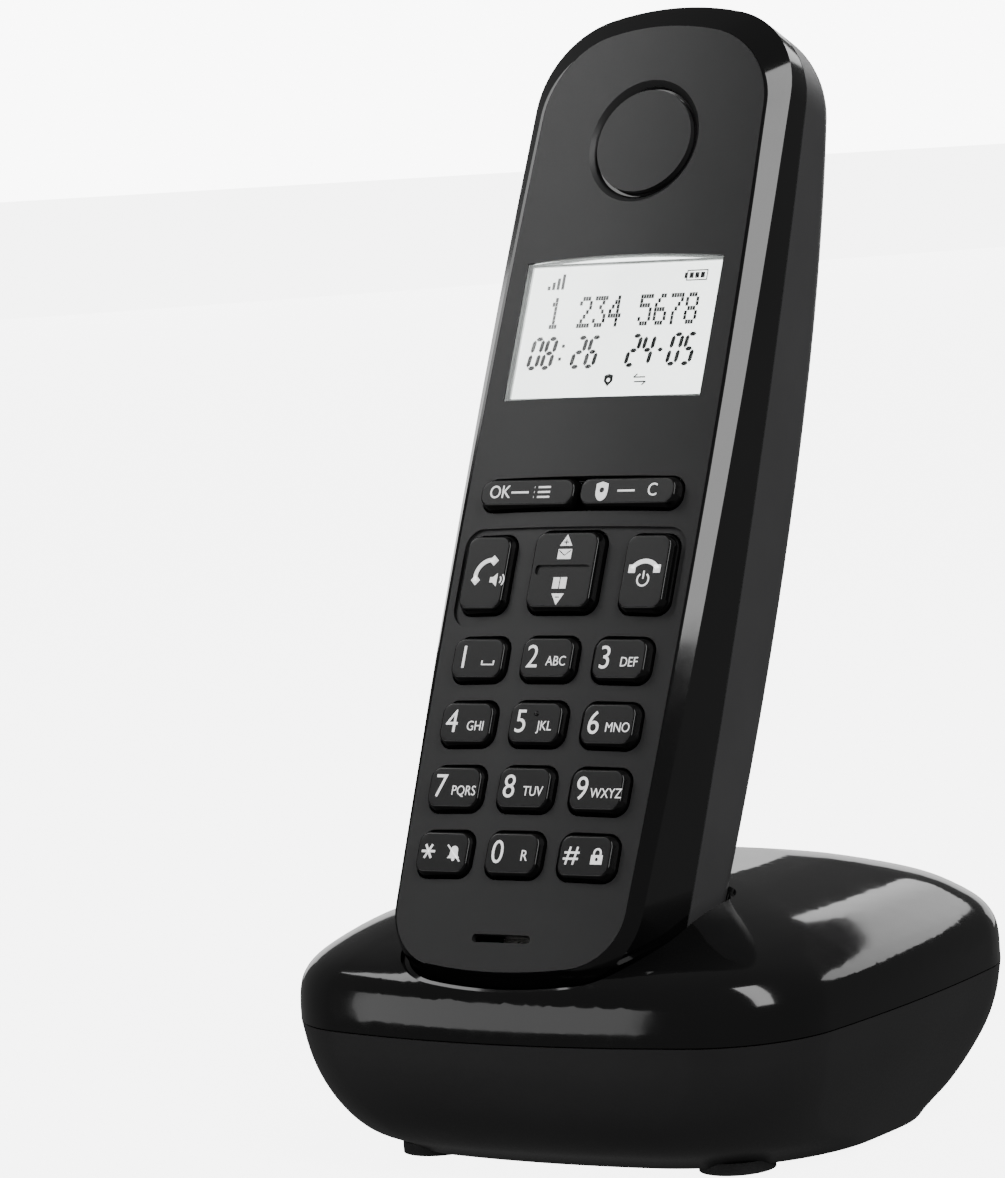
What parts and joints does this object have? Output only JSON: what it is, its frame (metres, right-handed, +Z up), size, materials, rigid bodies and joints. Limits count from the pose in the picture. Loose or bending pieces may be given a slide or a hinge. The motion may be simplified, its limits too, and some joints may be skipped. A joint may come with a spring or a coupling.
{
  "type": "cordless telephone with charging base",
  "caption": "Slim cordless telephone handset with keypad and small display, leaning back in a low domed charging base.",
  "frame": {"origin": "middle of the base's footprint on the surface it stands on", "axes": "+X to the right seen from the keypad side, +Y towards the rear, +Z up"},
  "size_m": [0.0904, 0.0836, 0.1629],
  "materials": {
    "gloss_black": "high gloss",
    "satin_charcoal": "fine satin",
    "satin_grey": "fine satin",
    "gloss_key": "gloss with satin top",
    "clear_window": "clear",
    "pale_plastic": "satin",
    "display_grey": "smooth",
    "board_green": "lacquered",
    "spring_metal": "bright",
    "silicone": "soft",
    "soft_rubber": "soft",
    "dark_plastic": "moulded",
    "cell_jacket": "shrink sleeve",
    "gold_contact": "plated",
    "screw_steel": "zinc"
  },
  "bodies": {
    "base": {"base_top_shell": "gloss_black", "base_bottom_shell": "satin_grey", "base_feet": "soft_rubber", "power_jack": "dark_plastic", "line_jack": "dark_plastic", "base_circuit_board": "board_green", "base_capacitors": "dark_plastic", "base_radio_shield": "spring_metal", "base_antenna": "spring_metal", "base_charge_contacts": "gold_contact", "base_screws": "screw_steel", "paging_switch": "dark_plastic"},
    "handset": {"handset_front_shell": "gloss_black", "handset_face_plate": "satin_charcoal", "earpiece_cap": "satin_charcoal", "handset_back_shell": "satin_grey", "handset_circuit_board": "board_green", "key_dome_sheet": "spring_metal", "keypad_mat": "silicone", "display_window": "clear_window", "display_frame": "pale_plastic", "lcd_module": "display_grey", "earpiece_speaker": "dark_plastic", "ringer_speaker": "dark_plastic", "microphone": "spring_metal", "handset_antenna": "spring_metal", "radio_shield": "spring_metal", "battery_cell_left": "cell_jacket", "battery_cell_right": "cell_jacket", "battery_contacts": "spring_metal", "handset_charge_contacts": "gold_contact", "handset_screws": "screw_steel"},
    "battery_cover": {"battery_cover": "satin_grey"},
    "paging_key": {"paging_key": "gloss_key"},
    "key_1": {"key_1": "gloss_key"},
    "key_2": {"key_2": "gloss_key"},
    "key_3": {"key_3": "gloss_key"},
    "key_4": {"key_4": "gloss_key"},
    "key_5": {"key_5": "gloss_key"},
    "key_6": {"key_6": "gloss_key"},
    "key_7": {"key_7": "gloss_key"},
    "key_8": {"key_8": "gloss_key"},
    "key_9": {"key_9": "gloss_key"},
    "key_star": {"key_star": "gloss_key"},
    "key_0": {"key_0": "gloss_key"},
    "key_hash": {"key_hash": "gloss_key"},
    "softkey_left": {"softkey_left": "gloss_key"},
    "softkey_right": {"softkey_right": "gloss_key"},
    "talk_key": {"talk_key": "gloss_key"},
    "end_key": {"end_key": "gloss_key"},
    "nav_key": {"nav_key": "gloss_key"}
  },
  "joints": [
    {"name": "handset_lift", "type": "slide", "parent": "base", "child": "handset", "axis": [0, 0.4362, 0.8999], "range_m": [0, 0.06]},
    {"name": "key_1_press", "type": "slide", "parent": "handset", "child": "key_1", "axis": [0, 0.8999, -0.4362], "range_m": [0, 0.0006], "stiffness_N_per_m": 1200},
    {"name": "key_2_press", "type": "slide", "parent": "handset", "child": "key_2", "axis": [0, 0.8999, -0.4362], "range_m": [0, 0.0006], "stiffness_N_per_m": 1200},
    {"name": "key_3_press", "type": "slide", "parent": "handset", "child": "key_3", "axis": [0, 0.8999, -0.4362], "range_m": [0, 0.0006], "stiffness_N_per_m": 1200},
    {"name": "key_4_press", "type": "slide", "parent": "handset", "child": "key_4", "axis": [0, 0.8999, -0.4362], "range_m": [0, 0.0006], "stiffness_N_per_m": 1200},
    {"name": "key_5_press", "type": "slide", "parent": "handset", "child": "key_5", "axis": [0, 0.8999, -0.4362], "range_m": [0, 0.0006], "stiffness_N_per_m": 1200},
    {"name": "key_6_press", "type": "slide", "parent": "handset", "child": "key_6", "axis": [0, 0.8999, -0.4362], "range_m": [0, 0.0006], "stiffness_N_per_m": 1200},
    {"name": "key_7_press", "type": "slide", "parent": "handset", "child": "key_7", "axis": [0, 0.8999, -0.4362], "range_m": [0, 0.0006], "stiffness_N_per_m": 1200},
    {"name": "key_8_press", "type": "slide", "parent": "handset", "child": "key_8", "axis": [0, 0.8999, -0.4362], "range_m": [0, 0.0006], "stiffness_N_per_m": 1200},
    {"name": "key_9_press", "type": "slide", "parent": "handset", "child": "key_9", "axis": [0, 0.8999, -0.4362], "range_m": [0, 0.0006], "stiffness_N_per_m": 1200},
    {"name": "key_star_press", "type": "slide", "parent": "handset", "child": "key_star", "axis": [0, 0.8999, -0.4362], "range_m": [0, 0.0006], "stiffness_N_per_m": 1200},
    {"name": "key_0_press", "type": "slide", "parent": "handset", "child": "key_0", "axis": [0, 0.8999, -0.4362], "range_m": [0, 0.0006], "stiffness_N_per_m": 1200},
    {"name": "key_hash_press", "type": "slide", "parent": "handset", "child": "key_hash", "axis": [0, 0.8999, -0.4362], "range_m": [0, 0.0006], "stiffness_N_per_m": 1200},
    {"name": "softkey_left_press", "type": "slide", "parent": "handset", "child": "softkey_left", "axis": [0, 0.8999, -0.4362], "range_m": [0, 0.0006], "stiffness_N_per_m": 1200},
    {"name": "softkey_right_press", "type": "slide", "parent": "handset", "child": "softkey_right", "axis": [0, 0.8999, -0.4362], "range_m": [0, 0.0006], "stiffness_N_per_m": 1200},
    {"name": "talk_key_press", "type": "slide", "parent": "handset", "child": "talk_key", "axis": [0, 0.8999, -0.4362], "range_m": [0, 0.0006], "stiffness_N_per_m": 1200},
    {"name": "end_key_press", "type": "slide", "parent": "handset", "child": "end_key", "axis": [0, 0.8999, -0.4362], "range_m": [0, 0.0006], "stiffness_N_per_m": 1200},
    {"name": "nav_key_rock", "type": "hinge", "parent": "handset", "child": "nav_key", "pos_m": [0, -0.01076, 0.08245], "axis": [1, 0, 0], "range_deg": [-2.5, 2.5], "stiffness_Nm_per_rad": 0.05},
    {"name": "battery_cover_lift", "type": "slide", "parent": "handset", "child": "battery_cover", "axis": [0, 0.8999, -0.4362], "range_m": [0, 0.02]},
    {"name": "paging_key_press", "type": "slide", "parent": "base", "child": "paging_key", "axis": [0, -1, 0], "range_m": [0, 0.001], "stiffness_N_per_m": 800}
  ]
}
